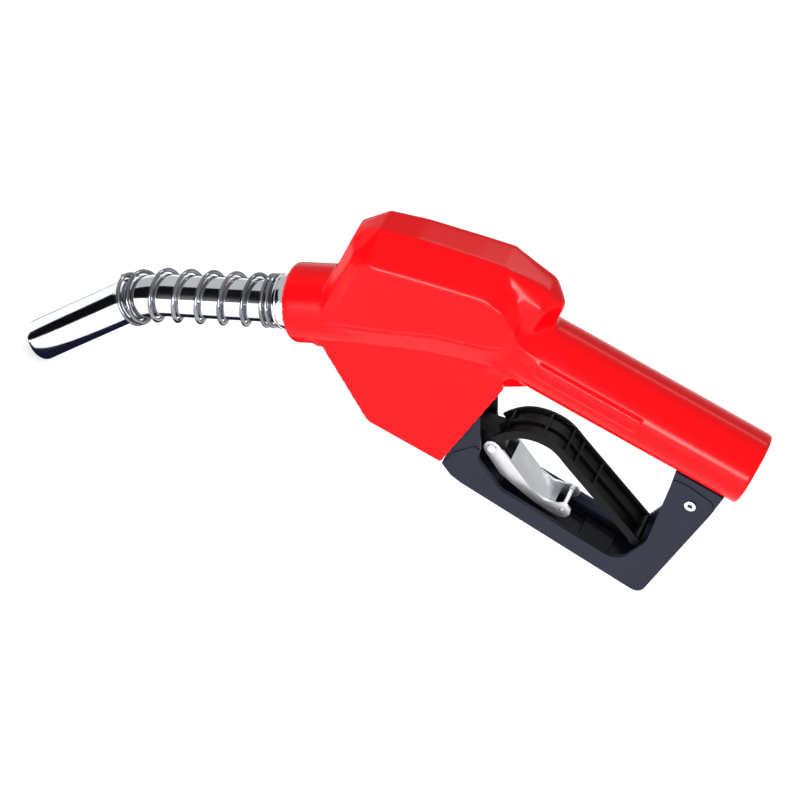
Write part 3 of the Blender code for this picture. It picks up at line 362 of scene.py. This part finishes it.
def spout_point(travel):
    """Point and direction on the spout's centreline, travel from the collar's rim."""
    bent = min(max(travel - SPOUT_STRAIGHT, 0), SPOUT_BEND_RUN) / SPOUT_BEND_RADIUS
    place = COLLAR_RIM + NECK_DIR * min(travel, SPOUT_STRAIGHT)
    place += NECK_DIR * SPOUT_BEND_RADIUS * math.sin(bent)
    place -= NECK_UP * SPOUT_BEND_RADIUS * (1 - math.cos(bent))
    heading = NECK_DIR * math.cos(bent) - NECK_UP * math.sin(bent)
    return place + heading * max(travel - SPOUT_STRAIGHT - SPOUT_BEND_RUN, 0), heading


def round_spout(travel, angle, radius):
    """Point at an angle and a distance from the spout's centreline."""
    place, heading = spout_point(travel)
    return place + (heading.cross(Y_AXIS) * math.cos(angle) + Y_AXIS * math.sin(angle)) * radius


# ---- cover ----------------------------------------------------------------------------------------
def rise(value, low, high):
    """0 at low, 1 at high, straight between them and level outside."""
    return np.clip((value - low) / (high - low), 0, 1)


def hump(away, half):
    """1 at nothing away, falling smoothly to nothing a few halves away."""
    return np.exp(-(away / half) ** 2)


def make_cover():
    """The thick vinyl cover: softly rounded, with step lines, a sink mark and a plain raised panel."""
    cover = copied("nozzle_cover", whole_faces=False)
    remesh = cover.modifiers.new("skin", "REMESH")
    remesh.mode = "VOXEL"
    remesh.voxel_size = 0.85 * mm
    soften = cover.modifiers.new("soften", "SMOOTH")
    soften.factor = 0.5
    soften.iterations = 8
    apply_all(cover)
    ease_eaves(cover)
    mould_details(cover.data)
    cover.data.shade_smooth()
    finish_piece(cover, "red_vinyl", "nozzle", "nozzle_cover")


def ease_eaves(cover):
    """Gives the long eaves and the dome's rear their larger moulded radius."""
    least = 0.02
    group = cover.vertex_groups.new(name="eaves")
    for vert in cover.data.vertices:
        x, y, z = vert.co / mm
        if -213 < x < -128 and abs(y) > 14:
            eaves = hump(z - np.interp(x, SIDE_X, EAVES_Z), 3.5)
            if eaves > least:
                group.add([vert.index], eaves, "REPLACE")
        rear = rise(x, -142, -134) * rise(z, 6, 14)
        if rear > least and x < -104:
            group.add([vert.index], rear, "REPLACE")
    ease = cover.modifiers.new("ease", "SMOOTH")
    ease.vertex_group = "eaves"
    ease.factor = 0.8
    ease.iterations = 34
    apply_all(cover)


def mould_details(data):
    """Moves the skin in and out for the step lines, cross marks, sink mark and raised panel."""
    step_half, mark_half, panel_height = 0.7, 0.6, 0.7
    co = np.zeros(len(data.vertices) * 3)
    data.vertices.foreach_get("co", co)
    co = co.reshape(-1, 3) / mm
    normals = np.array([v.normal for v in data.vertices])
    x, y, z = co.T
    push = np.zeros(len(co))
    on_side = rise(np.abs(normals[:, 1]), 0.55, 0.8) * (np.abs(y) > 15.2)
    on_body = on_side * (x < -131) * (x > -211)
    upper = np.interp(x, SIDE_X, UPPER_STEP_Z)
    lower = np.interp(x, SIDE_X, LOWER_STEP_Z)
    push -= 0.5 * hump(z - upper, step_half) * on_body
    push -= 0.45 * hump(z - lower, step_half) * on_body
    between_steps = rise(z, upper + 1.5, upper) * rise(z, lower - 1.5, lower)
    for mark in (-171.5, -147.5):
        push -= 0.35 * hump(x - mark, mark_half) * between_steps * on_body
    push -= 0.5 * hump(x + 140, 8) * hump(z + 31, 7) * on_side
    round_angle = np.degrees(np.arctan2(z, np.abs(y)))
    along = rise(x, -112.5, -111.3) * rise(x, -57.5, -58.7)
    across = rise(np.abs(round_angle - 12), 13.5, 10.5)
    push += panel_height * along * across * (np.hypot(y, z) > 17.2)
    co += normals * push[:, None]
    data.vertices.foreach_set("co", (co * mm).ravel())


# ---- spout ----------------------------------------------------------------------------------------
def make_spout_tube():
    """Bent chrome tube with a rolled lip and its sensing hole."""
    sides, lip_steps, bend_steps = 96, 8, 20
    tip_run = SPOUT_STRAIGHT + SPOUT_BEND_RUN
    stations = [-20 * mm, -10 * mm, 0, *np.linspace(8 * mm, SPOUT_STRAIGHT, 8)]
    stations += [SPOUT_STRAIGHT + SPOUT_BEND_RUN * i / bend_steps for i in range(1, bend_steps + 1)]
    stations += list(np.linspace(tip_run + 8 * mm, SPOUT_LENGTH - 2.5 * mm, 6))
    profile = [(travel, SPOUT_RADIUS) for travel in stations]
    lip = SPOUT_WALL / 2
    for i in range(lip_steps + 1):
        a = math.pi * i / lip_steps
        profile.append((SPOUT_LENGTH - lip + lip * math.sin(a), SPOUT_RADIUS - lip + lip * math.cos(a)))
    profile += [(travel, SPOUT_RADIUS - SPOUT_WALL) for travel in reversed(stations)]
    work = bmesh.new()
    rings = [[work.verts.new(round_spout(travel, 2 * math.pi * k / sides, radius)) for k in range(sides)]
             for travel, radius in profile]
    skin(work, rings, closed=True)
    bmesh.ops.recalc_face_normals(work, faces=work.faces)
    tube = new_piece("spout_tube_made", work)
    drill_sensing_hole(tube)
    shade(tube, 35)
    finish_piece(tube, "bright_steel", "nozzle", "spout_tube")


def drill_sensing_hole(tube):
    """Cuts the small hole near the tip that shuts the nozzle off when fuel covers it."""
    hole_radius, drill_axis = 1.6 * mm, 0.01 * mm
    place, heading = spout_point(SPOUT_LENGTH - 12 * mm)
    drill = lathed("spout_drill", [(drill_axis, 5 * mm), (hole_radius, 5 * mm), (hole_radius, 14 * mm),
                                   (drill_axis, 14 * mm)], place, heading.cross(Y_AXIS), 32)
    hole = tube.modifiers.new("hole", "BOOLEAN")
    hole.operation = "DIFFERENCE"
    hole.solver = "EXACT"
    hole.object = drill
    apply_all(tube)
    bpy.data.objects.remove(drill)


def make_spout_nut():
    """Collar nut between the cover and the spring, with rounded edges and a turned groove."""
    out, bore, socket = 13.3 * mm, 10.6 * mm, 12.7 * mm
    profile = [(bore, NUT_FACE), (12.1 * mm, NUT_FACE), (12.5 * mm, 7.55 * mm), (13.1 * mm, 6.9 * mm),
               (out, 6.5 * mm), (out, 5.6 * mm), (12.9 * mm, 5.3 * mm), (12.9 * mm, 4.5 * mm),
               (out, 4.2 * mm), (out, 1.5 * mm), (13.1 * mm, 1.1 * mm), (12.5 * mm, 0.5 * mm),
               (12.3 * mm, 0.4 * mm), (socket, 0.35 * mm), (socket, -1.2 * mm), (bore, -1.2 * mm)]
    nut = lathed("spout_nut_made", profile, COLLAR_RIM, NECK_DIR, 96)
    shade(nut, 40)
    finish_piece(nut, "bright_steel", "nozzle", "spout_nut")


def make_anchor_spring():
    """Open-wound anchor spring with closed turns at both ends, along the spout's centreline."""
    per_turn = 48
    turns = SPRING_TURNS + SPRING_END_TURNS
    closed_pitch = SPRING_WIRE_RADIUS * 2 + 0.15 * mm
    open_pitch = (SPRING_LENGTH - SPRING_END_TURNS * closed_pitch) / SPRING_TURNS
    travel = NUT_FACE + GAP + SPRING_WIRE_RADIUS
    points = []
    for i in range(int(turns * per_turn) + 1):
        turn = i / per_turn
        points.append(round_spout(travel, 2 * math.pi * turn + math.pi / 2, SPRING_RADIUS))
        openness = min(max(min(turn, turns - turn) - SPRING_END_TURNS / 2 + 0.5, 0), 1)
        travel += (closed_pitch + (open_pitch - closed_pitch) * openness) / per_turn
    spring = swept_wire("anchor_spring_made", points, SPRING_WIRE_RADIUS, 14)
    shade(spring, 50)
    finish_piece(spring, "spring_steel", "nozzle", "anchor_spring")


# ---- lever and clip -------------------------------------------------------------------------------
def curve_shift(here):
    """How far a point by the lever's line moves to lie by a smooth curve through its corners."""
    starts, runs = LEVER_LINE[:-1], LEVER_LINE[1:] - LEVER_LINE[:-1]
    shares = np.clip(((here - starts) * runs).sum(1) / (runs ** 2).sum(1), 0, 1)
    away = np.linalg.norm(starts + runs * shares[:, None] - here, axis=1)
    i = int(away.argmin())
    if away[i] > 5.5:
        return np.zeros(2)
    t = shares[i]
    a, b, c = LEVER_LINE[max(i - 1, 0)], LEVER_LINE[i], LEVER_LINE[i + 1]
    d = LEVER_LINE[min(i + 2, len(LEVER_LINE) - 1)]
    smooth = 0.5 * (2 * b + (c - a) * t + (2 * a - 5 * b + 4 * c - d) * t ** 2
                    + (3 * b - a - 3 * c + d) * t ** 3)
    return smooth - (b + (c - b) * t)


def make_lever():
    """The lever with its faceted paddle eased onto one smooth curve."""
    paddle_start = -112
    lever = copied("lever")
    work = bmesh.new()
    work.from_mesh(lever.data)
    long_edges = [e for e in work.edges
                  if e.calc_length() > 3 * mm and min(v.co.x for v in e.verts) > paddle_start * mm
                  and abs(e.verts[0].co.x - e.verts[1].co.x) > 1.5 * mm]
    bmesh.ops.subdivide_edges(work, edges=long_edges, cuts=4)
    for vert in work.verts:
        here = np.array((vert.co.x, vert.co.z)) / mm
        if here[0] >= paddle_start:
            shift = curve_shift(here) * mm
            vert.co.x += shift[0]
            vert.co.z += shift[1]
    work.to_mesh(lever.data)
    work.free()
    soften_edges(lever, 0.4 * mm, 3)
    finish_piece(lever, "black_plastic", "lever", "lever")


def make_clip():
    """The pressed steel hold-open clip, with its crisp edges kept."""
    clip = copied("hold_open_clip")
    shade(clip, 28)
    finish_piece(clip, "zinc_plate", "hold_open_clip", "hold_open_clip")


def make_clip_spring():
    """Small wound spring that folds the hold-open clip back."""
    base = Vector((-78.5 * mm, 0, -81.95 * mm))
    turns, per_turn, coil_radius, length = 4, 32, 1 * mm, 3.2 * mm
    steps = turns * per_turn
    points = []
    for i in range(steps + 1):
        a = 2 * math.pi * i / per_turn
        depth = length + length * i / steps
        points.append(base + Vector((coil_radius * math.cos(a), -depth, coil_radius * math.sin(a))))
    spring = swept_wire("clip_spring_made", points, 0.35 * mm, 10)
    spring.data.shade_smooth()
    finish_piece(spring, "brass", "hold_open_clip", "clip_spring")


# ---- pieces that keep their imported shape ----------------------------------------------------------
def make_inner_spring(node):
    """A smooth copy of a spring inside the body (the real one shortens as its valve lifts), with a mesh of
    its own.
    """
    spring = copied(node)
    spring.data.shade_smooth()
    finish_piece(spring, slot_of(frame["nodes"][node]), "nozzle", node)
    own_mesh(spring)


def make_softened():
    """Copies of the plain pieces with their edges rounded."""
    body_of = {node: body for body, nodes in frame["record"]["behaviour"]["bodies"].items()
               for node in nodes}
    for node, (width, segments) in EDGE_WIDTHS.items():
        piece = copied(node)
        soften_edges(piece, width, segments)
        finish_piece(piece, slot_of(frame["nodes"][node]), body_of[node], node)


def dress_nodes():
    """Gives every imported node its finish."""
    for node in frame["nodes"].values():
        slot = slot_of(node)
        node.data.materials.clear()
        node.data.materials.append(FINISHES[slot])
        shade(node, 35)


make_cover()
make_spout_tube()
make_spout_nut()
make_anchor_spring()
make_clip_spring()
make_lever()
make_inner_spring("main_spring")
make_inner_spring("vacuum_spring")
make_inner_spring("check_spring")
make_softened()
make_clip()
dress_nodes()


# ---- floor, light and camera ----------------------------------------------------------------------
def make_floor():
    half_width, below = 6, 0.5 * mm
    work = bmesh.new()
    bmesh.ops.create_grid(work, x_segments=8, y_segments=8, size=half_width)
    bmesh.ops.translate(work, verts=work.verts, vec=(0, 0, cad_box[0][2] - below))
    floor = new_piece("studio_floor", work)
    f = Finish("studio_floor", Roughness=0.9, Specular_IOR_Level=0.1, Emission_Color=(1, 1, 1, 1),
               Emission_Strength=0.32)
    f.feed("Base Color", f.blend(f.noise(3, 2), (0.93, 0.93, 0.93), (0.95, 0.95, 0.95)))
    floor.data.materials.append(f.material)


def make_lamp(name, place, target, size, power):
    lamp = bpy.data.lights.new(name, "AREA")
    lamp.shape = "RECTANGLE"
    lamp.size, lamp.size_y = size
    lamp.energy = power
    holder = bpy.data.objects.new(name, lamp)
    bpy.context.scene.collection.objects.link(holder)
    holder.location = place
    holder.rotation_euler = (Vector(place) - Vector(target)).to_track_quat("Z", "Y").to_euler()


def make_sky():
    """Plain grey-white studio surround."""
    world = bpy.data.worlds.new("studio")
    world.use_nodes = True
    bpy.context.scene.world = world
    world.node_tree.nodes["Background"].inputs["Color"].default_value = (0.97, 0.98, 1, 1)
    world.node_tree.nodes["Background"].inputs["Strength"].default_value = 0.58


def make_flag(name, corners, grey):
    """A dark studio flag that only polished metal picks up."""
    work = bmesh.new()
    work.faces.new([work.verts.new(corner) for corner in corners])
    flag = new_piece(name, work)
    f = Finish(name, Roughness=1.0, Specular_IOR_Level=0.0)
    f.shader.inputs["Base Color"].default_value = (*grey, 1)
    flag.data.materials.append(f.material)
    flag.visible_camera = False
    flag.visible_diffuse = False
    flag.visible_shadow = False
    flag.visible_transmission = False


def make_flags():
    """The flags that give the chrome its black bands, standing or lying on the object's lowest level."""
    ground = cad_box[0][2]
    black, blue_black = (0.004, 0.004, 0.005), (0.010, 0.012, 0.030)
    make_flag("left_flag", [(-0.75, -0.89, ground), (-0.75, -0.03, ground), (-0.75, -0.03, 0.34),
                            (-0.75, -0.89, 0.34)], black)
    make_flag("tip_flag", [(-0.347, -0.012, ground), (-0.43, -0.117, ground), (-0.9, -0.65, ground),
                           (-0.9, 0.06, ground)], black)
    make_flag("under_flag", [(-0.345, -0.020, ground), (-0.19, -0.030, ground), (-0.19, 0.30, ground),
                             (-0.345, 0.30, ground)], blue_black)


def make_camera():
    azimuth, elevation, roll = math.radians(-1), math.radians(44), math.radians(30)
    target = Vector((-159.86 * mm, 0, -73.4 * mm))
    distance = 2
    back = Vector((math.sin(azimuth) * math.cos(elevation), -math.cos(azimuth) * math.cos(elevation),
                   math.sin(elevation)))
    level = Vector((math.cos(azimuth), math.sin(azimuth), 0))
    upright = back.cross(level)
    right = level * math.cos(roll) + upright * math.sin(roll)
    up = upright * math.cos(roll) - level * math.sin(roll)
    data = bpy.data.cameras.new("camera")
    data.lens = 187.2
    data.sensor_width = 36
    camera = bpy.data.objects.new("camera", data)
    bpy.context.scene.collection.objects.link(camera)
    turn = Matrix((right, up, back)).transposed().to_4x4()
    camera.matrix_world = Matrix.Translation(target + back * distance) @ turn
    bpy.context.scene.camera = camera


make_floor()
make_sky()
make_lamp("rear_strip", (-0.15, 1.1, 1.05), (-0.15, 0, 0), (1.5, 0.05), 4)
make_lamp("front_strip", (-0.15, -1.45, 0.20), (-0.15, 0, 0), (1.6, 0.07), 20)
make_lamp("front_box", (-0.6, -1.6, 0.30), (-0.15, 0, -0.05), (1.4, 0.5), 13)
make_flags()
bpy.context.scene.view_settings.view_transform = "Standard"
make_camera()
